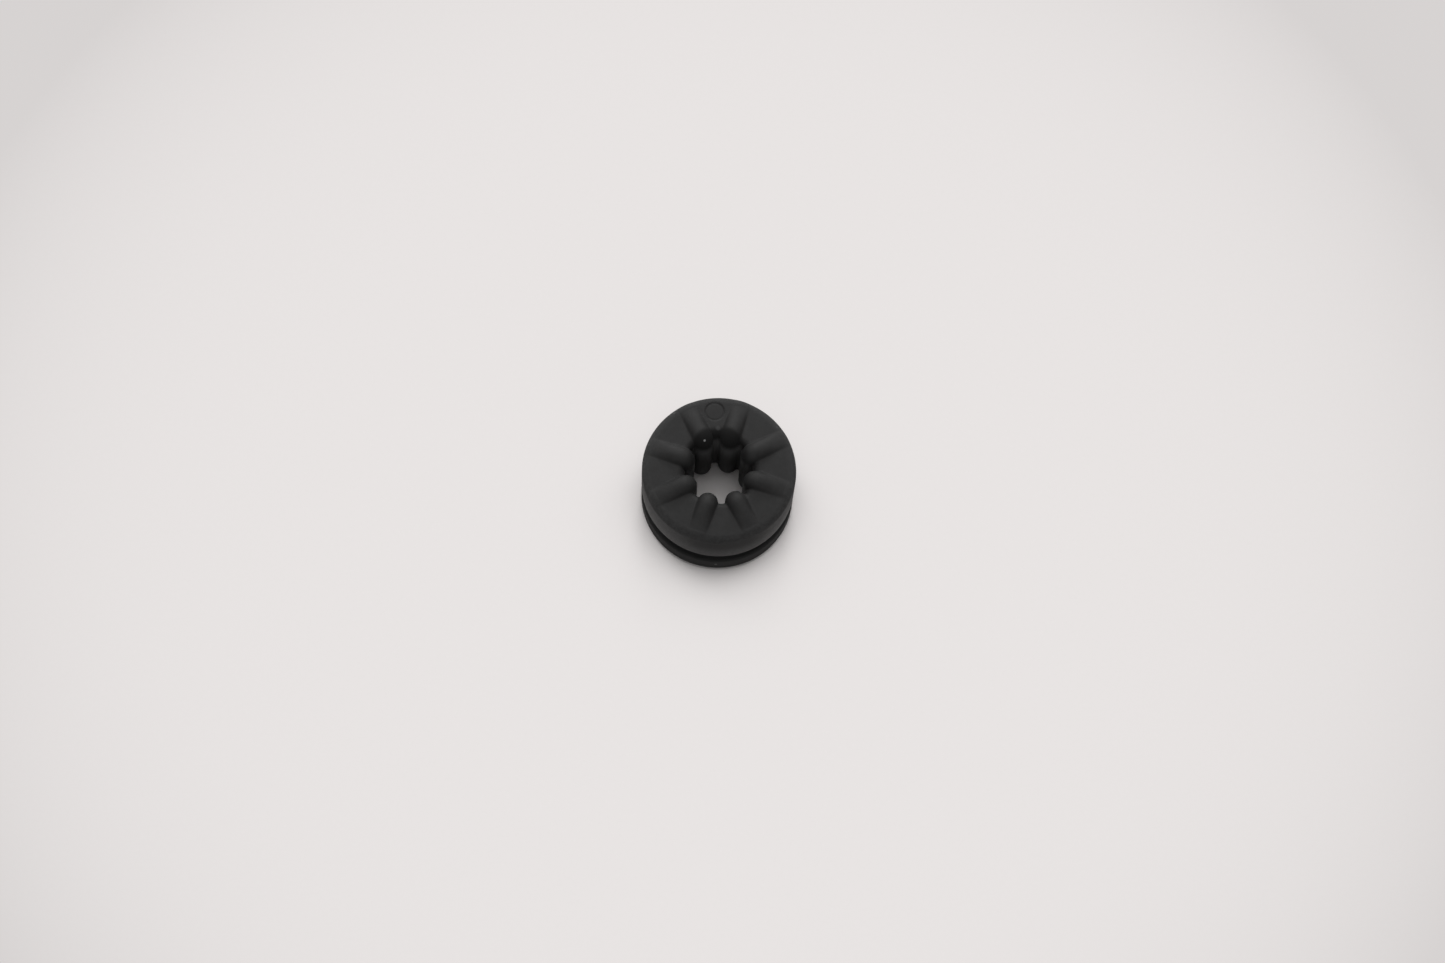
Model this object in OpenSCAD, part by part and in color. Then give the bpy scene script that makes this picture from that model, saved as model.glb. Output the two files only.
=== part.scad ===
// Ribbed rubber grommet, moulded in one piece. A thick upper flange and a thinner
// lower one stand on a common core, and the groove between them takes a panel's edge.
// Rounded ribs lie across the upper face, where they fall off towards the rim, loop
// over the brink and run down the bore.
//
// Millimetres. +Z is up the bore. The origin is the centre of the flat underside.

/* [Flanges] */
// Outside diameter of both flanges
flange_d = 15; // [13.5:0.1:20]
// Thickness of the upper flange, up to its flat face
upper_t = 4.7; // [2.5:0.1:6]
// Thickness of the lower flange
lower_t = 2.3; // [1.2:0.1:4]
// Rounding of the rim round the upper face
rim_round = 0.75; // [0.2:0.05:1]
// Rounding of the upper flange's lower edge, beside the groove
upper_edge_round = 0.2; // [0.05:0.05:0.5]
// Rounding of both edges of the lower flange
lower_edge_round = 0.3; // [0.05:0.05:0.5]

/* [Panel groove] */
// Height of the groove, the thickness of the panel that it takes
groove_h = 1.5; // [0.8:0.1:3]
// Diameter of the groove's floor, the hole in the panel
groove_d = 10.4; // [9.6:0.1:12]
// Rounding in the two inner corners of the groove
groove_round = 0.25; // [0.05:0.05:0.35]

/* [Bore] */
// Clear diameter between the crests of the ribs
bore_d = 5; // [4.2:0.1:5.6]
// Rounding of the brink where the bore opens on the upper face
brink_round = 0.75; // [0.4:0.05:1]
// Fall of the mouth's bevel, which ends the hollow corners beside the ribs
mouth_fall = 3; // [1:0.1:5]

/* [Ribs] */
// Number of ribs round the bore
rib_count = 8; // [4:1:9]
// Width of a rib, whose crest is a half round
rib_w = 1.8; // [1.2:0.1:2]
// Depth of the valleys between the ribs, out from their crests in the bore
bore_rib_h = 0.9; // [0.6:0.05:1]
// Height of a rib above the upper face, beside the brink
face_rib_h = 0.75; // [0.5:0.05:0.9]
// Flat left between a rib's outer end, where it meets the face, and the rounded rim
rib_end_gap = 0.1; // [0.05:0.05:0.3]
// Length of a rib's crest that stays level past the brink before it falls off
crest_level = 0.15; // [0.05:0.05:0.3]

/* [Mould mark] */
// Diameter of the round mark that an ejector pin leaves between two ribs
mark_d = 1.8; // [1:0.1:2]
// Distance of the mark's centre from the outside of the flange
mark_inset = 1.6; // [1.5:0.1:2.4]
// Depth of the mark
mark_depth = 0.06; // [0.03:0.01:0.2]

/* [Hidden] */
$fn = 96;

// Overshoot of a cut past the surface that it opens
cut_over = 0.5;

// Levels, from the underside up
upper_z = lower_t + groove_h;
face_z = upper_z + upper_t;
brink_z = face_z - brink_round;

// Radii from the axis of the bore. The wall lies at the bottom of the valleys.
flange_r = flange_d / 2;
groove_r = groove_d / 2;
bore_r = bore_d / 2;
wall_r = bore_r + bore_rib_h;

// The ribs start half a pitch from +Y, where the mark lies in the middle of a valley
rib_pitch = 360 / rib_count;
first_valley = 90;
mark_r = flange_r - mark_inset;

// The line up the middle of a rib's round bar. It is upright in the bore, bends out
// from the level where the brink's rounding starts, and runs level across the face.
// A cone cuts the level bar down, from where its crest starts to fall to its outer end.
rib_r = rib_w / 2;
rib_line_r = bore_r + rib_r;
rib_line_z = face_z + face_rib_h - rib_r;
bend_round = rib_line_z - brink_z;
bend_r = rib_line_r + bend_round;
crest_fall_r = bend_r + crest_level;
rib_end_r = flange_r - rim_round - rib_end_gap;
fall_rate = face_rib_h / (rib_end_r - crest_fall_r);

// Radius of the round bottom of a valley, which touches the wall and runs smoothly
// into the round crests on both sides of it
valley_round = (wall_r ^ 2 + rib_line_r ^ 2 - 2 * wall_r * rib_line_r * cos(rib_pitch / 2) - rib_r ^ 2)
    / (2 * (rib_r + wall_r - rib_line_r * cos(rib_pitch / 2)));
valley_line_r = wall_r - valley_round;

// A point at a radius and an angle from the axis
function polar(radius, angle) = radius * [cos(angle), sin(angle)];

// Sliver outside a quarter circle, which rounds a section's corner when it is cut.
// inward holds the signs of the way from the corner into what stays.
module corner_sliver(corner, inward, radius) {
    reach = radius + cut_over;
    translate(corner + radius * inward)
        difference() {
            translate([inward.x > 0 ? -reach : 0, inward.y > 0 ? -reach : 0])
                square(reach);
            circle(radius);
        }
}

// Half section of the panel groove, open at its outer end
module groove_section() {
    difference() {
        translate([groove_r, lower_t])
            square([flange_r + cut_over - groove_r, groove_h]);
        corner_sliver([groove_r, lower_t], [1, 1], groove_round);
        corner_sliver([groove_r, upper_z], [1, -1], groove_round);
    }
}

// Half section of the bore's mouth: the rounded brink, and the bevel below it
module mouth_section() {
    corner_sliver([wall_r, face_z], [1, -1], brink_round);
    polygon([
        [0, brink_z - mouth_fall],
        [wall_r, brink_z],
        [wall_r, face_z + cut_over],
        [0, face_z + cut_over]
    ]);
}

// Half section of the body before the bore is cut: radius along X, height along Y
module body_section() {
    difference() {
        square([flange_r, face_z]);
        mouth_section();
        groove_section();
        corner_sliver([flange_r, face_z], [-1, -1], rim_round);
        corner_sliver([flange_r, upper_z], [-1, 1], upper_edge_round);
        corner_sliver([flange_r, lower_t], [-1, -1], lower_edge_round);
        corner_sliver([flange_r, 0], [-1, 1], lower_edge_round);
    }
}

// Outline of the bore, a wave of round crests and round valleys. A polygon through
// the centres of both is hollowed by the crests and filled out by the valleys.
module bore_outline() {
    difference() {
        polygon([
            for (i = [0 : rib_count - 1])
                each [
                    polar(valley_line_r, i * rib_pitch),
                    polar(rib_line_r, (i + 0.5) * rib_pitch)
                ]
        ]);
        for (i = [0 : rib_count - 1])
            translate(polar(rib_line_r, (i + 0.5) * rib_pitch))
                circle(rib_r);
    }
    for (i = [0 : rib_count - 1])
        translate(polar(valley_line_r, i * rib_pitch))
            circle(valley_round);
}

// The revolved body, with the waved bore cut through it
module body() {
    difference() {
        rotate_extrude()
            body_section();
        translate([0, 0, -cut_over])
            linear_extrude(height = face_z + 2 * cut_over)
                bore_outline();
    }
}

// Quarter bend of a rib's bar. Where the bar is thicker than the bend is wide, it
// stops at the bend's centre, which lies inside the body.
module rib_bend() {
    translate([bend_r, 0, brink_z])
        rotate([90, 0, 0])
            rotate([0, 0, 90])
                rotate_extrude(angle = 90)
                    intersection() {
                        translate([bend_round, 0])
                            circle(rib_r);
                        translate([0, -rib_r])
                            square([bend_round + rib_r, rib_w]);
                    }
}

// The space under the cone that a rib's crest falls off along, out to the rib's end
module rib_roof() {
    rotate_extrude()
        polygon([
            [0, upper_z],
            [rib_end_r, upper_z],
            [rib_end_r, face_z],
            [0, face_z + fall_rate * rib_end_r]
        ]);
}

// One rib, over +X: up the bore, over the brink and out across the face
module rib() {
    translate([rib_line_r, 0, 0])
        cylinder(h = brink_z, r = rib_r);
    rib_bend();
    intersection() {
        translate([bend_r, 0, rib_line_z])
            rotate([0, 90, 0])
                cylinder(h = flange_r - bend_r, r = rib_r);
        rib_roof();
    }
}

// Shallow recess that an ejector pin leaves in the face, over +X
module mould_mark() {
    translate([mark_r, 0, face_z - mark_depth])
        cylinder(h = mark_depth + cut_over, d = mark_d);
}

// The whole grommet, one solid
module grommet() {
    color([0.14, 0.14, 0.15])
        rotate([0, 0, first_valley])
            difference() {
                union() {
                    body();
                    for (i = [0 : rib_count - 1])
                        rotate([0, 0, (i + 0.5) * rib_pitch])
                            rib();
                }
                mould_mark();
            }
}

grommet();
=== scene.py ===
"""Dresses the ribbed rubber grommet and stands it on a pale bench.

The grommet is moulded in one piece, so one closed surface replaces its CAD solid: the
same form, with the soft hollows that a mould leaves where the ribs rise from the body,
the ejector pin's mark, and a matte black rubber finish with its grain and dust.
"""

import logging
import math
from dataclasses import dataclass, field
from enum import Enum
from typing import Any, Sequence, Union

import bpy
import numpy as np
from mathutils import Matrix, Vector


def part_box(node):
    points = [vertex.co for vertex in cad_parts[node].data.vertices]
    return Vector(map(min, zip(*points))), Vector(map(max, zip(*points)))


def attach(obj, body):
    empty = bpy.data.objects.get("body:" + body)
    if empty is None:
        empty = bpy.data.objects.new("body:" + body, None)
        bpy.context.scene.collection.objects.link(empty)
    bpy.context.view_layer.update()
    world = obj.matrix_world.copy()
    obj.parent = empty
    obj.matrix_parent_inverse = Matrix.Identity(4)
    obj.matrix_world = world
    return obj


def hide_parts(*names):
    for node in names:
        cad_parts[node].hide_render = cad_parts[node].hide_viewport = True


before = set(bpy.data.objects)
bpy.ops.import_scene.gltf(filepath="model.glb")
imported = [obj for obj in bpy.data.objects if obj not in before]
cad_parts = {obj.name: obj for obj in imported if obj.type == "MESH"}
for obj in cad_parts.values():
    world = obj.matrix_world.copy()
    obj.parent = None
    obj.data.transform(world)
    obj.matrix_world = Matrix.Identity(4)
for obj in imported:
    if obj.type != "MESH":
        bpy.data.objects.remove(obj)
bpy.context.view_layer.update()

MM = 0.001
Number = Union[int, float]
Colour = tuple[float, float, float, float]

log = logging.getLogger("grommet")


def mm(*lengths: float) -> tuple[float, ...]:
    """Lengths in metres, from lengths in millimetres."""
    return tuple(length * MM for length in lengths)


# --------------------------------------------------------------------------- shader maths


class Value:
    """A number in a node tree, held by the socket that gives it.

    Maths on it is written as in Python, and each operation adds its Math node.
    """

    def __init__(self, sheet: "NodeSheet", socket: bpy.types.NodeSocket) -> None:
        """Wraps an output socket of a node on the sheet."""
        self.sheet = sheet
        self.socket = socket

    def _math(self, operation: str, first: "Term", second: "Term") -> "Value":
        """Adds a Math node of that operation and hands back its result."""
        return self.sheet.node("ShaderNodeMath", {"operation": operation}, {0: first, 1: second})

    def __add__(self, other: "Term") -> "Value":
        """Sum."""
        return self._math("ADD", self, other)

    def __radd__(self, other: "Term") -> "Value":
        """Sum, with the number on the left."""
        return self._math("ADD", other, self)

    def __sub__(self, other: "Term") -> "Value":
        """Difference."""
        return self._math("SUBTRACT", self, other)

    def __rsub__(self, other: "Term") -> "Value":
        """Difference, with the number on the left."""
        return self._math("SUBTRACT", other, self)

    def __mul__(self, other: "Term") -> "Value":
        """Product."""
        return self._math("MULTIPLY", self, other)

    def __rmul__(self, other: "Term") -> "Value":
        """Product, with the number on the left."""
        return self._math("MULTIPLY", other, self)

    def __truediv__(self, other: "Term") -> "Value":
        """Quotient."""
        return self._math("DIVIDE", self, other)

    def __rtruediv__(self, other: "Term") -> "Value":
        """Quotient, with the number on the left."""
        return self._math("DIVIDE", other, self)

    def __pow__(self, other: "Term") -> "Value":
        """Power."""
        return self._math("POWER", self, other)

    def __rpow__(self, other: "Term") -> "Value":
        """Power, with the number as the base."""
        return self._math("POWER", other, self)

    def __abs__(self) -> "Value":
        """The value without its sign."""
        return self._math("ABSOLUTE", self, 0.0)


Term = Union[Value, Number]
Stops = Sequence[tuple[float, float]]


@dataclass(frozen=True)
class Noise:
    """A noise: the size of its features, how many finer layers it has, and their strength."""

    size: float
    detail: float
    rough: float


class NodeSheet:
    """The node tree of one material, or of the world."""

    def __init__(self, owner: Union[bpy.types.Material, bpy.types.World]) -> None:
        """Empties the owner's node tree.

        Args:
            owner: The material or the world.
        """
        self.owner = owner
        owner.use_nodes = True
        self.tree = owner.node_tree
        self.tree.nodes.clear()

    def add(
        self, kind: str, settings: dict[str, Any], inputs: dict[Union[int, str], Any]
    ) -> bpy.types.Node:
        """Adds any node.

        Args:
            kind: The node's type.
            settings: Its properties, set before its sockets. "stops" holds a ramp's
                positions and greys.
            inputs: A value or a link for each named or numbered socket.

        Returns:
            The node.
        """
        made = self.tree.nodes.new(kind)
        for name, setting in settings.items():
            if name == "stops":
                self._set_ramp(made.color_ramp, setting)
            else:
                setattr(made, name, setting)
        for name, given in inputs.items():
            if isinstance(given, Value):
                self.tree.links.new(given.socket, made.inputs[name])
            else:
                made.inputs[name].default_value = given
        return made

    def node(
        self,
        kind: str,
        settings: dict[str, Any],
        inputs: dict[Union[int, str], Any],
        output: Union[int, str] = 0,
    ) -> Value:
        """Adds any node, as add does, and hands back one of its outputs."""
        return Value(self, self.add(kind, settings, inputs).outputs[output])

    @staticmethod
    def _set_ramp(ramp: bpy.types.ColorRamp, stops: Stops) -> None:
        """Writes a grey ramp's two stops.

        Args:
            ramp: The ramp.
            stops: Position and grey of each stop.
        """
        for element, (position, level) in zip(ramp.elements, stops):
            element.position = position
            element.color = grey(level)

    def place(self) -> Value:
        """The object coordinates, in metres."""
        return self.node("ShaderNodeTexCoord", {}, {}, "Object")

    def parts(self, place: Value) -> tuple[Value, Value, Value]:
        """The x, y and z of a place."""
        outputs = self.add("ShaderNodeSeparateXYZ", {}, {0: place}).outputs
        return tuple(Value(self, outputs[name]) for name in "XYZ")

    def climb(self, value: Value, low: float, high: float) -> Value:
        """Climbs smoothly from 0 to 1 while a value goes from low to high."""
        inputs = {"Value": value, "From Min": low, "From Max": high}
        return self.node("ShaderNodeMapRange", {"interpolation_type": "SMOOTHSTEP"}, inputs, "Result")

    def seen(self) -> Value:
        """Tells the rays that show a surface from those that carry its light.

        Returns:
            1 for camera, mirror and see-through rays, and 0 for all others.
        """
        outputs = self.add("ShaderNodeLightPath", {}, {}).outputs
        kinds = ("Is Camera Ray", "Is Glossy Ray", "Is Transmission Ray")
        straight, mirrored, through = (Value(self, outputs[kind]) for kind in kinds)
        return self.clamped(straight + mirrored + through)

    def noise(self, place: Value, noise: Noise) -> Value:
        """Even noise about a half.

        Args:
            place: The coordinates that it reads.
            noise: Its features.

        Returns:
            The noise, from 0 to 1.
        """
        inputs = {
            "Vector": place,
            "Scale": 1.0 / noise.size,
            "Detail": noise.detail,
            "Roughness": noise.rough,
        }
        return self.node("ShaderNodeTexNoise", {"noise_dimensions": "3D"}, inputs, "Fac")

    def distance(self, place: Value, other: Sequence[float]) -> Value:
        """Distance from a place to another, in metres."""
        ends = {0: place, 1: other}
        return self.node("ShaderNodeVectorMath", {"operation": "DISTANCE"}, ends, "Value")

    def ramp(self, value: Value, stops: Stops) -> Value:
        """Bends a value through a grey ramp, given the position and grey of each stop."""
        return self.node("ShaderNodeValToRGB", {"stops": stops}, {"Fac": value}, "Color")

    def mix(self, factor: Value, low: Union[Value, Colour], high: Union[Value, Colour]) -> Value:
        """Mixes two colours, on the node's sockets 6 and 7, which lead to its output 2."""
        settings = {"data_type": "RGBA", "clamp_factor": True}
        return self.node("ShaderNodeMix", settings, {0: factor, 6: low, 7: high}, 2)

    def clamped(self, value: Value) -> Value:
        """Keeps a value between 0 and 1."""
        return self.node("ShaderNodeClamp", {}, {"Value": value, "Min": 0.0, "Max": 1.0}, "Result")

    def bump(self, height: Value, distance: float) -> Value:
        """Turns a height into a shading normal, where 1 stands for the distance."""
        return self.node("ShaderNodeBump", {}, {"Height": height, "Distance": distance}, "Normal")

    def principled(self, sockets: dict[str, Any]) -> Value:
        """A Principled surface, with a value or a link for each socket."""
        return self.node("ShaderNodeBsdfPrincipled", {}, sockets, "BSDF")

    def close(self, surface: Value, kind: str = "ShaderNodeOutputMaterial") -> None:
        """Closes the tree with a shader, by the tree's own kind of output node."""
        self.add(kind, {}, {"Surface": surface})


def grey(level: float) -> Colour:
    """A linear grey as a colour."""
    return (level, level, level, 1.0)


# --------------------------------------------------------------------------- the half section


class Stretch(Enum):
    """The stretches of the half section, in the order of the walk round it."""

    BORE = "bore"
    BRINK = "brink"
    FACE = "face"
    RIM = "rim"
    SIDE = "side"
    GROOVE = "groove"
    LOWER = "lower"


RIBBED = (Stretch.BORE, Stretch.BRINK, Stretch.FACE)
ROUNDED = (Stretch.RIM,)
MARKED = (Stretch.FACE, Stretch.RIM)


@dataclass
class Walk:
    """A walk round a half section, with the rubber on the right hand.

    Each step leaves a row of four numbers: radius, height, and the outward normal's share
    along each. A straight leg keeps its heading. A turn moves round a centre that lies
    its radius to the left or right, and the normal is always the heading's left side.
    """

    radius: float
    height: float
    heading: float
    rows: list[np.ndarray] = field(default_factory=list)
    stretches: list[Stretch] = field(default_factory=list)

    def _keep(self, places: np.ndarray, headings: np.ndarray, stretch: Stretch) -> None:
        """Stores the rows of a leg, without its last place, which opens the next leg.

        Args:
            places: Radius and height of each place, the end included.
            headings: The heading at each place, in degrees.
            stretch: What the leg belongs to.
        """
        angle = np.radians(headings + 90.0)
        rows = np.column_stack([places, np.cos(angle), np.sin(angle)])
        self.rows.append(rows[:-1])
        self.stretches += [stretch] * (len(rows) - 1)
        self.radius, self.height = places[-1]
        self.heading = headings[-1]

    def ahead(self, length: float, stretch: Stretch, steps: int) -> None:
        """Walks straight on: the place plus equal shares of the length along the heading.

        Args:
            length: How far to walk.
            stretch: What the leg belongs to.
            steps: How many rows to leave.
        """
        share = np.linspace(0.0, length, steps + 1)[:, None]
        angle = math.radians(self.heading)
        places = np.array([self.radius, self.height]) + share * [math.cos(angle), math.sin(angle)]
        self._keep(places, np.full(steps + 1, self.heading), stretch)

    def turn(self, bend: float, degrees: float, stretch: Stretch, steps: int) -> None:
        """Walks round a curve: the centre, less the radius along the way to the centre.

        Args:
            bend: The curve's radius.
            degrees: The change of heading, positive to the left.
            stretch: What the curve belongs to.
            steps: How many rows to leave.
        """
        side = math.copysign(90.0, degrees)
        headings = np.linspace(self.heading, self.heading + degrees, steps + 1)
        inward = np.radians(headings + side)
        spokes = bend * np.column_stack([np.cos(inward), np.sin(inward)])
        places = np.array([self.radius, self.height]) + spokes[0] - spokes
        self._keep(places, headings, stretch)

    def stop(self, stretch: Stretch) -> None:
        """Keeps the last place as a row of its own."""
        place = np.array([[self.radius, self.height]])
        self._keep(np.repeat(place, 2, axis=0), np.full(2, self.heading), stretch)

    def section(self) -> np.ndarray:
        """All rows so far, one below the other."""
        return np.vstack(self.rows)

    def among(self, wanted: Sequence[Stretch]) -> np.ndarray:
        """Which rows belong to the wanted stretches."""
        return np.array([stretch in wanted for stretch in self.stretches])


@dataclass(frozen=True)
class Body:
    """The revolved body: two flanges, the core between them and the panel groove."""

    flange_d: float
    wall_d: float = 6.8 * MM
    upper_t: float = 4.7 * MM
    lower_t: float = 2.3 * MM
    groove_h: float = 1.5 * MM
    groove_d: float = 10.4 * MM
    rim_round: float = 0.75 * MM
    brink_round: float = 0.75 * MM
    upper_edge_round: float = 0.2 * MM
    lower_edge_round: float = 0.3 * MM
    groove_round: float = 0.25 * MM
    foot_round: float = 0.6 * MM
    coarse_share: float = 0.55

    @property
    def face_z(self) -> float:
        """Height of the flat upper face."""
        return self.lower_t + self.groove_h + self.upper_t

    @property
    def brink_z(self) -> float:
        """Height at which the brink's rounding starts."""
        return self.face_z - self.brink_round

    @property
    def wall_r(self) -> float:
        """Radius of the bore at the bottom of the valleys."""
        return self.wall_d / 2

    @property
    def rim_r(self) -> float:
        """Radius at which the flat face ends and the rim's rounding starts."""
        return self.flange_d / 2 - self.rim_round

    def walk(self) -> Walk:
        """Walks from the foot of the bore over the face and both flanges to the underside.

        The rows are coarser in the lower share of the bore.

        Returns:
            The walk, which ends on the underside where its lower edge's rounding ends.
        """
        flange_r, groove_r = self.flange_d / 2, self.groove_d / 2
        ledge = flange_r - groove_r - self.groove_round
        bore = self.brink_z - self.foot_round
        walk = Walk(self.wall_r, self.foot_round, 90.0)
        walk.ahead(bore * self.coarse_share, Stretch.BORE, steps=6)
        walk.ahead(bore * (1.0 - self.coarse_share), Stretch.BORE, steps=14)
        walk.turn(self.brink_round, -90.0, Stretch.BRINK, steps=18)
        walk.ahead(self.rim_r - self.wall_r - self.brink_round, Stretch.FACE, steps=46)
        walk.turn(self.rim_round, -90.0, Stretch.RIM, steps=16)
        walk.ahead(self.upper_t - self.rim_round - self.upper_edge_round, Stretch.SIDE, steps=8)
        walk.turn(self.upper_edge_round, -90.0, Stretch.SIDE, steps=6)
        walk.ahead(ledge - self.upper_edge_round, Stretch.GROOVE, steps=6)
        walk.turn(self.groove_round, 90.0, Stretch.GROOVE, steps=6)
        walk.ahead(self.groove_h - 2 * self.groove_round, Stretch.GROOVE, steps=4)
        walk.turn(self.groove_round, 90.0, Stretch.GROOVE, steps=6)
        walk.ahead(ledge - self.lower_edge_round, Stretch.GROOVE, steps=6)
        walk.turn(self.lower_edge_round, -90.0, Stretch.LOWER, steps=7)
        walk.ahead(self.lower_t - 2 * self.lower_edge_round, Stretch.LOWER, steps=4)
        walk.turn(self.lower_edge_round, -90.0, Stretch.LOWER, steps=7)
        walk.stop(Stretch.LOWER)
        return walk


@dataclass(frozen=True)
class Ribs:
    """The round bars that run up the bore, bend over the brink and cross the face.

    Over the face they sink, and narrow a little, till they run out at the rim.
    """

    body: Body
    count: int = 8
    width: float = 2.0 * MM
    bore_height: float = 0.9 * MM
    face_height: float = 0.749 * MM
    end_share: float = 0.08
    sinking_ease: float = 0.25
    sinking_power: float = 1.15
    narrowing: float = 0.1
    softness: float = 0.07 * MM
    halvings: int = 26

    @property
    def pitch(self) -> float:
        """Angle from one rib to the next, in radians."""
        return 2 * math.pi / self.count

    @property
    def first(self) -> float:
        """Angle of a rib: half a pitch past the valley at +Y."""
        return math.pi / 2 + self.pitch / 2

    def way_out(self, radius: np.ndarray) -> np.ndarray:
        """Share of the way from the brink's middle to the rim's middle.

        Args:
            radius: Distance from the bore's axis.

        Returns:
            The shares, from 0 to 1.
        """
        start = self.body.wall_r + self.body.brink_round / 2
        end = self.body.flange_d / 2 - self.body.rim_round / 2
        return np.clip((radius - start) / (end - start), 0.0, 1.0)

    def height_share(self, radius: np.ndarray) -> np.ndarray:
        """How much of the height over the face is left.

        It is whole up to the brink's middle and falls from there to the rim's middle
        with a power of the way still to go, after a soft start. The way covered is its
        hypotenuse with the ease, less the ease, over what that is for the whole way.

        Args:
            radius: Distance from the bore's axis.

        Returns:
            The shares, from 1 down to the end share.
        """
        sunk = np.hypot(self.way_out(radius), self.sinking_ease) - self.sinking_ease
        whole = math.hypot(1.0, self.sinking_ease) - self.sinking_ease
        return self.end_share + (1.0 - self.end_share) * (1.0 - sunk / whole) ** self.sinking_power

    def bar_distance(self, along: np.ndarray, across: np.ndarray, up: np.ndarray) -> np.ndarray:
        """Distance to one rib's bar, negative inside it.

        The bar's middle line is upright in the bore, a quarter circle over the brink and
        level over the face. The distance to the bar is the distance to the nearest of
        the three, less half the rib's width.

        Args:
            along: Distance from the bore's axis towards the rib.
            across: Distance to the side of the rib's middle plane.
            up: Height.

        Returns:
            The distances.
        """
        half = self.width / 2
        upright_r = self.body.wall_r - self.bore_height + half
        level_z = self.body.face_z + self.face_height - half
        bend = level_z - self.body.brink_z
        bend_r = upright_r + bend
        to_upright = np.hypot(along - upright_r, np.maximum(up - self.body.brink_z, 0.0))
        to_level = np.hypot(np.minimum(along - bend_r, 0.0), up - level_z)
        in_corner = (along < bend_r) & (up > self.body.brink_z)
        to_bend = np.abs(np.hypot(along - bend_r, up - self.body.brink_z) - bend)
        nearest = np.minimum(np.minimum(to_upright, to_level), np.where(in_corner, to_bend, np.inf))
        return np.hypot(across, nearest) - half

    def rise(self, start: np.ndarray, way: np.ndarray) -> np.ndarray:
        """Climbs from the body to the surface of body and ribs together.

        At a height above the body, the soft union's level is the sum of exp(-distance /
        softness) over the body and the three nearest ribs, and the surface lies where it
        is 1. Sunk bars are bars of full height whose height over the face is scaled
        down, and narrowed ones are scaled across. Halving finds the height.

        Args:
            start: Places on the body, with x towards the nearest rib.
            way: The way to climb from each place, of length 1.

        Returns:
            The height of the surface above each place.
        """
        face_z = self.body.face_z
        low = np.zeros(start.shape[:-1])
        high = np.full(start.shape[:-1], self.bore_height + self.width / 2)
        for _ in range(self.halvings):
            middle = (low + high) / 2
            place = start + way * middle[..., None]
            x, y, up = place[..., 0], place[..., 1], place[..., 2]
            radius = np.hypot(x, y)
            share = self.height_share(radius)
            slim = 1.0 - self.narrowing * self.way_out(radius)
            up = np.where(up > face_z, face_z + (up - face_z) / share, up)
            total = np.exp(-middle / share / self.softness)
            for neighbour in (-1, 0, 1):
                cosine = math.cos(neighbour * self.pitch)
                sine = math.sin(neighbour * self.pitch)
                across = (y * cosine - x * sine) / slim
                bar = self.bar_distance(x * cosine + y * sine, across, up)
                total += np.exp(-bar / self.softness)
            inside = total > 1.0
            low = np.where(inside, middle, low)
            high = np.where(inside, high, middle)
        return (low + high) / 2


@dataclass(frozen=True)
class MouldMark:
    """The shallow round recess of an ejector pin, in the valley at +Y."""

    body: Body
    width: float = 1.8 * MM
    inset: float = 1.6 * MM
    depth: float = 0.06 * MM
    edge: float = 0.025 * MM
    line_depth: float = 0.065 * MM
    line_width: float = 0.09 * MM

    @property
    def centre_y(self) -> float:
        """Distance of the mark's centre from the bore's axis."""
        return self.body.flange_d / 2 - self.inset

    def sink(self, surface: np.ndarray) -> np.ndarray:
        """How far each place of the face lies below its unmarked height.

        The recess is its depth times a smooth step at its edge, half of one less the
        hyperbolic tangent of the distance out from the edge. A thin line, a bell curve
        over that distance, runs round it.

        Args:
            surface: Places on the face, x, y and z.

        Returns:
            The depths.
        """
        from_centre = np.hypot(surface[..., 0], surface[..., 1] - self.centre_y)
        from_edge = from_centre - self.width / 2
        floor = self.depth * (1.0 - np.tanh(from_edge / self.edge)) / 2
        line = self.line_depth * np.exp(-((from_edge / self.line_width) ** 2))
        return floor + line


# --------------------------------------------------------------------------- the grommet


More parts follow.
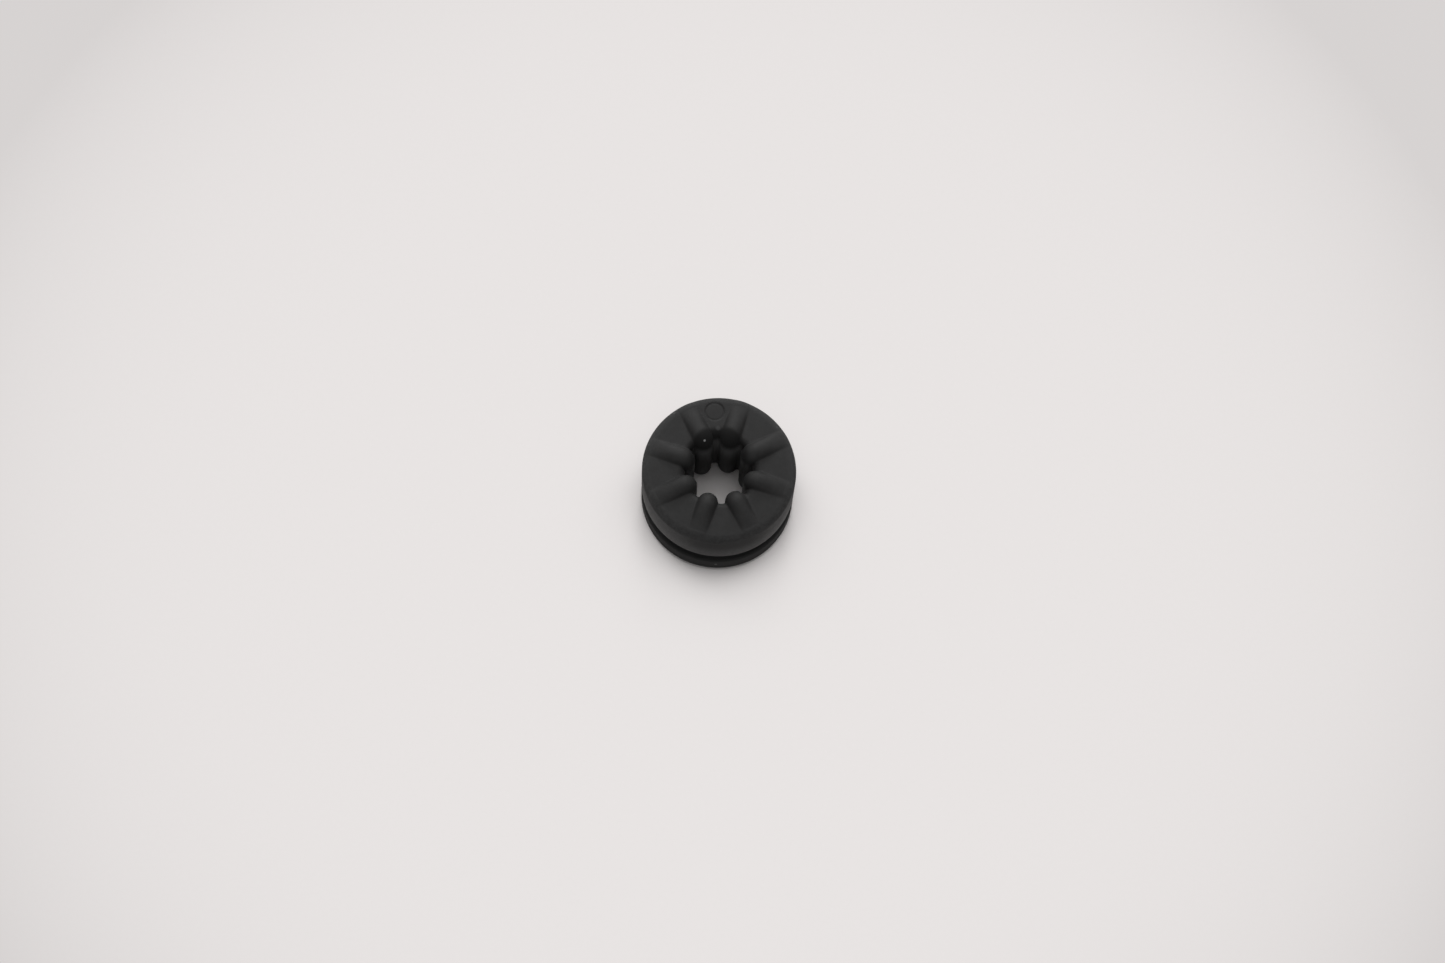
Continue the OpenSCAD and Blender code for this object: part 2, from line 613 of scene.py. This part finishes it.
@dataclass(frozen=True)
class Columns:
    """How the surface's columns lie round the axis.

    Inside a rib's strip a column keeps its distance to the side of the rib's middle, so
    the grid's edges run along the ribs. Between two strips the columns share the angle
    evenly, and they are closer together in the valley that holds the mark.
    """

    ribs: Ribs
    skirt: float = 0.27 * MM
    crest_columns: int = 25
    skirt_columns: int = 5
    valley_columns: int = 13
    marked_columns: int = 47

    def strip(self) -> np.ndarray:
        """Distances to the side of a rib's middle of one strip's columns.

        Over the crest a distance is half the rib's width times the sine of an even
        angle, which follows the round section, and beside it the skirt is shared evenly.

        Returns:
            The distances, from one side of the strip to the other.
        """
        half = self.ribs.width / 2
        crest = half * np.sin(np.linspace(-math.pi / 2, math.pi / 2, self.crest_columns))
        beside = half + self.skirt * np.arange(1, self.skirt_columns + 1) / self.skirt_columns
        return np.concatenate([-beside[::-1], crest, beside])

    def angles(self, radius: np.ndarray) -> tuple[np.ndarray, np.ndarray, np.ndarray]:
        """Angles of all columns at each radius.

        In a strip the angle is the arc sine of the distance to the side over the radius,
        and in a valley it goes evenly from the strip's edge to half a pitch and back.

        Args:
            radius: The body's radius at each row.

        Returns:
            The angle from the middle of the nearest rib, row by column, that rib's own
            angle for each column, and each column's way into its valley, from 0 in a
            strip to 1 midway between two ribs.
        """
        aside = self.strip()
        edge = np.arcsin(aside[-1] / radius)[:, None]
        spare = self.ribs.pitch / 2 - edge
        local, owners, ways = [], [], []
        for number in range(self.ribs.count):
            own = self.ribs.first + number * self.ribs.pitch
            before_mark = number == self.ribs.count - 1
            count = self.marked_columns if before_mark else self.valley_columns
            share = 2.0 * np.arange(1, count + 1) / (count + 1)
            near = share <= 1.0
            to_middle = np.where(near, share, 2.0 - share)
            side = np.where(near, 1.0, -1.0)
            local += [np.arcsin(aside / radius[:, None]), side * (edge + spare * to_middle)]
            owners += [np.full(len(aside), own), np.where(near, own, own + self.ribs.pitch)]
            ways += [np.zeros(len(aside)), to_middle]
        return np.hstack(local), np.concatenate(owners), np.concatenate(ways)


def upright(across: np.ndarray, up: np.ndarray, angle: np.ndarray) -> np.ndarray:
    """Places or ways from a distance out at an angle, and a height.

    Args:
        across: Distance from the axis, one for each row.
        up: Height, one for each row.
        angle: Angle in the plane, row by column.

    Returns:
        x, y and z, row by column.
    """
    flat_x = across[:, None] * np.cos(angle)
    flat_y = across[:, None] * np.sin(angle)
    return np.stack([flat_x, flat_y, np.broadcast_to(up[:, None], angle.shape)], axis=-1)


def turned(places: np.ndarray, angle: np.ndarray) -> np.ndarray:
    """Turns places about the axis, each column by its own angle.

    Args:
        places: x, y and z, row by column.
        angle: The angle of each column.

    Returns:
        The turned places.
    """
    cosine, sine = np.cos(angle), np.sin(angle)
    turned_x = places[..., 0] * cosine - places[..., 1] * sine
    turned_y = places[..., 0] * sine + places[..., 1] * cosine
    return np.stack([turned_x, turned_y, places[..., 2]], axis=-1)


def closed_mesh(name: str, grid: np.ndarray) -> bpy.types.Mesh:
    """Makes a mesh of a grid that closes on itself both ways, like a ring's skin.

    Place (row, column) is vertex row times columns plus column. Each face joins a place
    to the next row, that row's next column and the next column, in this order, so with
    the rubber on the walk's right hand it faces outwards.

    Args:
        name: The mesh's name.
        grid: Rows by columns by x, y and z.

    Returns:
        The mesh, shaded smooth.
    """
    rows, columns = grid.shape[:2]
    row = np.arange(rows)[:, None]
    column = np.arange(columns)[None, :]
    next_row = (row + 1) % rows
    next_column = (column + 1) % columns
    corners = np.stack(
        [
            row * columns + column,
            next_row * columns + column,
            next_row * columns + next_column,
            row * columns + next_column,
        ],
        axis=-1,
    )
    faces = rows * columns
    mesh = bpy.data.meshes.new(name)
    mesh.vertices.add(faces)
    mesh.vertices.foreach_set("co", grid.astype(np.float32).ravel())
    mesh.loops.add(4 * faces)
    mesh.loops.foreach_set("vertex_index", corners.astype(np.int32).ravel())
    mesh.polygons.add(faces)
    mesh.polygons.foreach_set("loop_start", np.arange(0, 4 * faces, 4, dtype=np.int32))
    mesh.polygons.foreach_set("use_smooth", np.ones(faces, dtype=bool))
    mesh.update(calc_edges=True)
    return mesh


@dataclass(frozen=True)
class Grommet:
    """The moulded grommet, one closed surface."""

    body: Body
    ribs: Ribs
    mark: MouldMark
    columns: Columns
    foot_rows: int = 5
    underside_rows: int = 7

    def surface(self) -> np.ndarray:
        """Works out the grid of places, row by row round the section.

        Each place starts on the revolved body, at its row's radius and its column's
        angle, and climbs along the row's normal to the soft union with the ribs. In a
        rib's strip it climbs in step with the rib's middle plane, and towards the middle
        of a valley the way turns to the place's own spoke, by a smooth step. On the rim
        the ribs keep the face's last rise, times the square of the normal's upward part.

        Returns:
            Rows by columns by x, y and z.
        """
        walk = self.body.walk()
        radius, height, out, up = walk.section().T
        angle, owner, into_valley = self.columns.angles(radius)
        lean = angle * into_valley**2 * (3.0 - 2.0 * into_valley)
        start, way = upright(radius, height, angle), upright(out, up, lean)
        ribbed, rounded, marked = (walk.among(kinds) for kinds in (RIBBED, ROUNDED, MARKED))
        rise = self.ribs.rise(start[ribbed], way[ribbed])
        start[ribbed] += way[ribbed] * rise[..., None]
        start[rounded] += way[rounded] * rise[-1][:, None] * up[rounded][:, None, None] ** 2
        grid = turned(start, owner)
        grid[marked, :, 2] -= self.mark.sink(grid[marked])
        return np.concatenate([grid, self.underside(grid[-1], grid[0])])

    def underside(self, edge: np.ndarray, foot: np.ndarray) -> np.ndarray:
        """Rows across the underside, from the flange's lower edge to the bore's foot.

        The foot's edge is a quarter circle: the bore's outline moved into the rubber by
        the rounding times one less the cosine, at a height of the rounding times one
        less the sine. The flat rows go evenly from the flange's edge to its end.

        Args:
            edge: The row where the flange's lower rounding ends.
            foot: The bore's lowest row.

        Returns:
            The rows between the two, both left out.
        """
        along = np.roll(foot, -1, axis=0)[:, :2] - np.roll(foot, 1, axis=0)[:, :2]
        along /= np.hypot(along[:, 0], along[:, 1])[:, None]
        into_rubber = np.column_stack([along[:, 1], -along[:, 0]])
        turn = np.linspace(math.pi / 2, 0.0, self.foot_rows + 1)[:-1, None]
        rounding = np.repeat(foot[None], len(turn), axis=0)
        rounding[..., :2] += self.body.foot_round * (1.0 - np.cos(turn))[..., None] * into_rubber
        rounding[..., 2] = self.body.foot_round * (1.0 - np.sin(turn))
        share = np.linspace(0.0, 1.0, self.underside_rows + 2)[1:-1, None, None]
        flat = edge * (1.0 - share) + rounding[0] * share
        return np.concatenate([flat, rounding])

    def build(self, finish: "MouldedRubber") -> bpy.types.Object:
        """Makes the piece, dresses it and puts it in the CAD node's place.

        Args:
            finish: The rubber's finish.

        Returns:
            The piece.
        """
        mesh = closed_mesh("grommet_skin", self.surface())
        mesh.materials.append(finish.material())
        piece = bpy.data.objects.new("moulded_grommet", mesh)
        bpy.context.scene.collection.objects.link(piece)
        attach(piece, "root")
        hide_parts("grommet")
        log.info("%s: %d faces", piece.name, len(mesh.polygons))
        return piece


# --------------------------------------------------------------------------- the finishes


@dataclass(frozen=True)
class Speck:
    """A small bright spot on the rubber, whole in its core: a speck of dust, and in one case a
    painted glint.
    """

    place: tuple[float, ...]
    radius: float
    level: float
    core_share: float = 0.4

    def mask(self, sheet: NodeSheet, place: Value) -> Value:
        """Where the speck lies: 1 in its core, 0 outside."""
        away = sheet.distance(place, self.place)
        return 1.0 - sheet.climb(away, self.core_share * self.radius, self.radius)


SPECKS_AND_GLINT = (
    # painted glint: a painted highlight on the far rib's brink; the other specks are dust
    Speck(mm(-1.23, 2.8, 8.91), radius=0.15 * MM, level=0.3),
    Speck(mm(-0.71, -7.47, 1.37), radius=0.2 * MM, level=0.12),
    Speck(mm(0.19, 4.15, 8.5), radius=0.32 * MM, level=0.032),
    Speck(mm(-3.97, 6.04, 8.32), radius=0.22 * MM, level=0.06),
    Speck(mm(-6.6, 2.9, 8.35), radius=0.25 * MM, level=0.05),
    Speck(mm(5.9, 3.9, 8.3), radius=0.2 * MM, level=0.06),
)


@dataclass(frozen=True)
class MouldedRubber:
    """Matte black moulded rubber: fine grain, faint clouds, dust on the rim, a few specks,
    a painted glint, and painted light and shade.

    The upper flange's edge has a pale mottled coat all over at the sides, dust with a
    painted sheen, and in front only at its foot and its brow, dust with painted light.
    The far brink is painted dark, a painted shade where it turns away from the lamps
    behind; the lower flange is painted one even black, a painted shade under the groove;
    and the bore is painted paler, a painted light for what the bench bounces up it.
    Ranges of x, z and r (radius) say between which places a part of the finish comes in.
    """

    # painted light and shade: the face's black runs from a shaded near black to a lit far black, and
    # the clouds mix between the same two
    cloud_and_near_shade_black: float = 0.0105
    cloud_and_far_light_black: float = 0.0225
    # painted shade: the lower flange, under the groove and near the bench, is painted one even black
    lower_shade_black: float = 0.0135
    # painted shade: the far brink, turned away from the lamps behind, is painted darker
    far_brink_shade_black: float = 0.006
    # painted light: the deep bore is painted paler for the light that the bench bounces up it
    bore_bounce_light: float = 0.085
    # dust and painted light: a pale mottled coat on the rim, which in front also stands in for the
    # light on the wall's foot and brow
    rim_dust_and_light: float = 0.046
    # dust and painted sheen: the rim's sides, where light grazes them, are painted paler
    side_dust_and_sheen: float = 0.073
    groove_dusty: float = 0.03
    cloudiness: float = 0.55
    fleck_share: float = 0.3
    front_dust_and_light: float = 0.1
    foot_dust_and_light: float = 0.7
    brow_dust_and_light: float = 0.75
    roughness: float = 0.63
    dull_roughness: float = 0.85
    cloud_roughness: float = 0.1
    grain_roughness: float = 0.12
    gloss: float = 0.17
    cloud: Noise = Noise(0.9 * MM, detail=4.0, rough=0.65)
    cloud_stops: Stops = ((0.4, 0.0), (0.64, 1.0))
    grain: Noise = Noise(0.1 * MM, detail=2.0, rough=0.6)
    fleck_stops: Stops = ((0.45, 0.0), (0.75, 1.0))
    mottle: Noise = Noise(0.34 * MM, detail=4.0, rough=0.7)
    patch_stops: Stops = ((0.34, 0.45), (0.68, 1.0))
    grain_height: float = 0.014 * MM
    rim_r: tuple[float, ...] = mm(6.5, 7.35)
    side_x: tuple[float, ...] = mm(2.0, 6.5)
    upper_z: tuple[float, ...] = mm(2.4, 3.6)
    above_foot_z: tuple[float, ...] = mm(4.2, 7.0)
    brow_z: tuple[float, ...] = mm(7.5, 8.1)
    core_r: tuple[float, ...] = mm(3.2, 4.2)
    above_bounce_light_z: tuple[float, ...] = mm(6.4, 8.2)
    lower_r: tuple[float, ...] = mm(4.2, 5.2)
    ledge_z: tuple[float, ...] = mm(1.9, 2.3)
    overhang_z: tuple[float, ...] = mm(3.7, 3.85)
    beside_ledge_r: tuple[float, ...] = mm(6.8, 7.5)
    # centre and size of the disc of painted shade on the far brink
    shade_centre_y: float = 1.4 * MM
    beside_shade_r: tuple[float, ...] = mm(2.5, 3.1)
    specks: tuple[Speck, ...] = SPECKS_AND_GLINT

    def material(self) -> bpy.types.Material:
        """Makes the material.

        The coats lie over the clouded black one after another, each where its mask is 1.

        Returns:
            The material, all on object coordinates.
        """
        sheet = NodeSheet(bpy.data.materials.new("moulded_rubber"))
        place = sheet.place()
        x, y, z = sheet.parts(place)
        behind = y - self.shade_centre_y
        radius = (x * x + y * y) ** 0.5
        cloud, grain = sheet.noise(place, self.cloud), sheet.noise(place, self.grain)
        patches = sheet.ramp(sheet.noise(place, self.mottle), self.patch_stops)
        upper = sheet.climb(z, *self.upper_z)
        core = 1.0 - sheet.climb(radius, *self.core_r)
        # painted shade: a disc round the far brink, painted dark
        brink_shade_mask = 1.0 - sheet.climb((x * x + behind * behind) ** 0.5, *self.beside_shade_r)
        lower = (1.0 - upper) * sheet.climb(radius, *self.lower_r)
        rim = sheet.climb(radius, *self.rim_r) * upper
        side = sheet.climb(abs(x), *self.side_x)
        foot = 1.0 - sheet.climb(z, *self.above_foot_z)
        brow = sheet.climb(z, *self.brow_z)
        # dust and painted light on the front of the rim, at the wall's foot and brow
        front = (1.0 - side) * (self.front_dust_and_light + self.foot_dust_and_light * foot + self.brow_dust_and_light * brow)
        groove = sheet.climb(z, *self.ledge_z) * (1.0 - sheet.climb(z, *self.overhang_z))
        ledge = (1.0 - core) * (1.0 - sheet.climb(radius, *self.beside_ledge_r))
        coats = [
            # painted shade on the far brink
            (brink_shade_mask, self.far_brink_shade_black),
            # painted light in the deep bore
            (core * (1.0 - sheet.climb(z, *self.above_bounce_light_z)), self.bore_bounce_light),
            # dust and painted light on the rim
            (rim * patches * (side + front), self.rim_dust_and_light),
            # dust and painted sheen on the rim's sides
            (rim * patches * side * (1.0 - brow), self.side_dust_and_sheen),
            # painted shade on the lower flange
            (lower, self.lower_shade_black),
            (groove * ledge, self.groove_dusty),
        ]
        coats += [(speck.mask(sheet, place), speck.level) for speck in self.specks]
        colour = self.clouded_black(sheet, y, cloud, grain)
        for mask, level in coats:
            colour = sheet.mix(mask, colour, grey(level))
        dull = sheet.clamped(lower + brink_shade_mask + rim * (1.0 - foot))
        uneven = self.cloud_roughness * (cloud - 0.5) + self.grain_roughness * (grain - 0.5)
        sockets = {
            "Base Color": colour,
            "Roughness": self.roughness + uneven + dull * (self.dull_roughness - self.roughness),
            "Specular IOR Level": self.gloss,
            "Normal": sheet.bump(grain, self.grain_height),
        }
        sheet.close(sheet.principled(sockets))
        return sheet.owner

    def clouded_black(self, sheet: NodeSheet, y: Value, cloud: Value, grain: Value) -> Value:
        """The bare rubber's black, with clouds and flecks, painted paler towards the far side,
        a painted light where the lamps behind fall on the face.

        Args:
            sheet: The material's sheet.
            y: The place's y.
            cloud: The coarse noise.
            grain: The fine noise.

        Returns:
            The colour.
        """
        clouds, flecks = sheet.ramp(cloud, self.cloud_stops), sheet.ramp(grain, self.fleck_stops)
        mixed = (1.0 - self.fleck_share) * clouds + self.fleck_share * flecks
        # painted light: paler towards the far side, where the lamps behind fall on the face
        far = sheet.climb(y, -self.rim_r[1], self.rim_r[1])
        shade = self.cloudiness * mixed + (1.0 - self.cloudiness) * far
        return sheet.mix(shade, grey(self.cloud_and_near_shade_black), grey(self.cloud_and_far_light_black))


@dataclass(frozen=True)
class PaleBench:
    """The bench's pale top, faintly grained and painted a little darker far from the grommet,
    as a painted falloff of light.

    The camera sees it as pale as its colour, apart from the grommet's shadow, which
    stays whole under and beside the grommet and fades out within a few millimetres.
    """

    red: float = 0.816
    green: float = 0.785
    blue: float = 0.777
    roughness: float = 0.9
    # painted shade: the top is painted darker far from the grommet, a painted falloff of light
    light_falloff: float = 0.17
    fade_radius: float = 83.0 * MM
    fade_power: float = 6.0
    grain: Noise = Noise(0.5 * MM, detail=3.0, rough=0.7)
    graininess: float = 0.12
    shadow_radius: float = 7.6 * MM
    near_reach: float = 2.4 * MM
    far_reach: float = 1.6 * MM
    near_share: float = 0.88
    far_share: float = 0.65

    def pale(self, left: float = 1.0) -> Colour:
        """The top's colour, of which a share is left."""
        return (self.red * left, self.green * left, self.blue * left, 1.0)

    def falloff_shaded(self) -> Colour:
        """The top's colour far away, painted darker as a painted falloff of light."""
        return self.pale(1.0 - self.light_falloff)

    def material(self) -> bpy.types.Material:
        """Makes the material.

        The colour is painted darker with a power of the distance, a painted falloff of light,
        and the grain wanders between the same two colours. For camera, mirror and see-through
        rays the top glows in its colour beyond the shadow's radius, with a strength of 1 less
        what is left of the shadow, which falls by e with each reach and is wider on the near side.

        Returns:
            The material.
        """
        sheet = NodeSheet(bpy.data.materials.new("pale_bench"))
        place = sheet.place()
        length = sheet.distance(place, (0.0, 0.0, 0.0))
        # painted falloff of light with the distance, mixed with the real grain
        spread = sheet.clamped((length / self.fade_radius) ** self.fade_power)
        falloff_and_grain = sheet.clamped(spread + self.graininess * sheet.noise(place, self.grain))
        colour = sheet.mix(falloff_and_grain, self.pale(), self.falloff_shaded())
        matte = {"Base Color": colour, "Roughness": self.roughness, "Specular IOR Level": 0.0}
        lit = sheet.principled(matte)
        glow = sheet.node("ShaderNodeEmission", {}, {"Color": colour, "Strength": 1.0})
        beyond = length - self.shadow_radius
        near = 1.0 - sheet.climb(sheet.parts(place)[1], 0.0, self.shadow_radius)
        share = self.far_share + (self.near_share - self.far_share) * near
        reach = self.far_reach + (self.near_reach - self.far_reach) * near
        shadow = share * math.e ** (-1.0 * beyond / reach)
        outside = sheet.node("ShaderNodeMath", {"operation": "GREATER_THAN"}, {0: beyond, 1: 0.0})
        shown = sheet.clamped(1.0 - shadow) * outside * sheet.seen()
        sheet.close(sheet.node("ShaderNodeMixShader", {}, {0: shown, 1: lit, 2: glow}))
        return sheet.owner


# --------------------------------------------------------------------------- the studio


@dataclass(frozen=True)
class Lamp:
    """A large soft lamp, a rectangle that looks at the grommet."""

    name: str
    azimuth: float
    elevation: float
    width: float
    height: float
    level: float
    distance: float = 0.8

    def build(self) -> bpy.types.Object:
        """Makes the lamp.

        A lamp of power P at a distance D lights a level surface by P sin(elevation) /
        (pi D D), and a white surface renders white at pi, so the power is pi squared
        times D squared times the level that is wanted, over the sine.

        Returns:
            The lamp's object.
        """
        light = bpy.data.lights.new(self.name, "AREA")
        light.shape = "RECTANGLE"
        light.size = self.width
        light.size_y = self.height
        way = direction(self.azimuth, self.elevation)
        light.energy = self.level * math.pi**2 * self.distance**2 / way.z
        lamp = bpy.data.objects.new(self.name, light)
        bpy.context.scene.collection.objects.link(lamp)
        lamp.location = way * self.distance
        lamp.rotation_euler = way.to_track_quat("Z", "Y").to_euler()
        log.info("%s: %.3f W", self.name, light.energy)
        return lamp


def direction(azimuth: float, elevation: float) -> Vector:
    """The way from the object to a viewer or a lamp.

    Args:
        azimuth: 0 stands in front, on the -Y side, and 90 on the +X side, in degrees.
        elevation: Angle above the bench, in degrees.

    Returns:
        The way, of length 1.
    """
    turn, climb = math.radians(azimuth), math.radians(elevation)
    level = math.cos(climb)
    return Vector((math.sin(turn) * level, -math.cos(turn) * level, math.sin(climb)))


@dataclass(frozen=True)
class Viewpoint:
    """The camera: where it stands, how it is turned, and where it has the grommet."""

    flange_d: float
    aim_z: float
    azimuth: float = -9.0
    elevation: float = 71.0
    roll: float = 5.0
    flange_px: float = 152.6
    aim_x_px: float = 717.9
    aim_y_px: float = 484.1
    frame_w_px: float = 1445.0
    frame_h_px: float = 963.0
    distance_in_flanges: float = 20.0
    sensor: float = 36.0
    clip_end: float = 10.0

    def build(self) -> bpy.types.Object:
        """Makes the camera and hands it to the scene.

        The focal length in pixels is the flange's width in pixels times the distance in
        flange diameters.

        Returns:
            The camera's object.
        """
        data = bpy.data.cameras.new("bench_camera")
        data.sensor_width = self.sensor
        data.lens = self.flange_px * self.distance_in_flanges * self.sensor / self.frame_w_px
        data.shift_x = (self.frame_w_px / 2 - self.aim_x_px) / self.frame_w_px
        data.shift_y = (self.aim_y_px - self.frame_h_px / 2) / self.frame_w_px
        data.clip_start = MM
        data.clip_end = self.clip_end
        camera = bpy.data.objects.new("bench_camera", data)
        bpy.context.scene.collection.objects.link(camera)
        back = direction(self.azimuth, self.elevation)
        level = direction(self.azimuth + 90.0, 0.0)
        up = back.cross(level)
        tilt = math.radians(self.roll)
        right = level * math.cos(tilt) + up * math.sin(tilt)
        pose = Matrix((right, back.cross(right), back)).transposed().to_4x4()
        pose.translation = Vector((0.0, 0.0, self.aim_z))
        pose.translation += back * self.distance_in_flanges * self.flange_d
        camera.matrix_world = pose
        bpy.context.scene.camera = camera
        log.info("camera: lens %.1f mm", data.lens)
        return camera


@dataclass(frozen=True)
class Studio:
    """The bench, the lamps and the pale room."""

    bench: PaleBench
    lamps: tuple[Lamp, ...]
    bench_half: float = 1.5
    room_level: float = 0.01

    def build(self) -> None:
        """Makes the bench, the room and the lamps."""
        self.bench_top()
        self.room()
        for lamp in self.lamps:
            lamp.build()

    def bench_top(self) -> bpy.types.Object:
        """Makes the bench's top, a square at the grommet's foot.

        Returns:
            The bench's object, which is no part of the grommet.
        """
        half = self.bench_half
        corners = [(-half, -half, 0.0), (half, -half, 0.0), (half, half, 0.0), (-half, half, 0.0)]
        mesh = bpy.data.meshes.new("bench_top")
        mesh.from_pydata(corners, [], [(0, 1, 2, 3)])
        mesh.materials.append(self.bench.material())
        top = bpy.data.objects.new("bench_top", mesh)
        bpy.context.scene.collection.objects.link(top)
        return top

    def room(self) -> None:
        """Lights the scene faintly from all sides, and shows the room as the far bench is."""
        world = bpy.data.worlds.new("pale_room")
        bpy.context.scene.world = world
        sheet = NodeSheet(world)
        colour = sheet.mix(sheet.seen(), grey(self.room_level), self.bench.falloff_shaded())
        background = sheet.node("ShaderNodeBackground", {}, {"Color": colour, "Strength": 1.0})
        sheet.close(background, "ShaderNodeOutputWorld")


def main() -> None:
    """Builds the grommet, the studio and the camera, and notes the sizes."""
    logging.basicConfig(level=logging.INFO, format="%(name)s: %(message)s")
    lowest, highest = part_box("grommet")
    body = Body(flange_d=highest.x - lowest.x)
    ribs = Ribs(body)
    grommet = Grommet(body, ribs, MouldMark(body), Columns(ribs))
    grommet.build(MouldedRubber())
    view = Viewpoint(flange_d=body.flange_d, aim_z=body.lower_t + body.groove_h)
    view.build()
    near, back = view.azimuth, view.azimuth + 180.0
    lamps = (
        Lamp("back_lamp", back, elevation=21.0, width=0.25, height=0.2, level=0.18),
        Lamp("left_lamp", near - 135.0, elevation=38.0, width=0.3, height=0.3, level=0.18),
        Lamp("right_lamp", near + 135.0, elevation=38.0, width=0.3, height=0.3, level=0.1),
        Lamp("high_lamp", back, elevation=76.0, width=0.4, height=0.4, level=0.25),
        Lamp("top_lamp", near, elevation=88.0, width=0.9, height=0.9, level=0.2),
        Lamp("near_lamp", near, elevation=30.0, width=0.3, height=0.3, level=0.08),
    )
    Studio(PaleBench(), lamps).build()
    bpy.context.scene.view_settings.view_transform = "Standard"


if __name__ == "__main__":
    main()
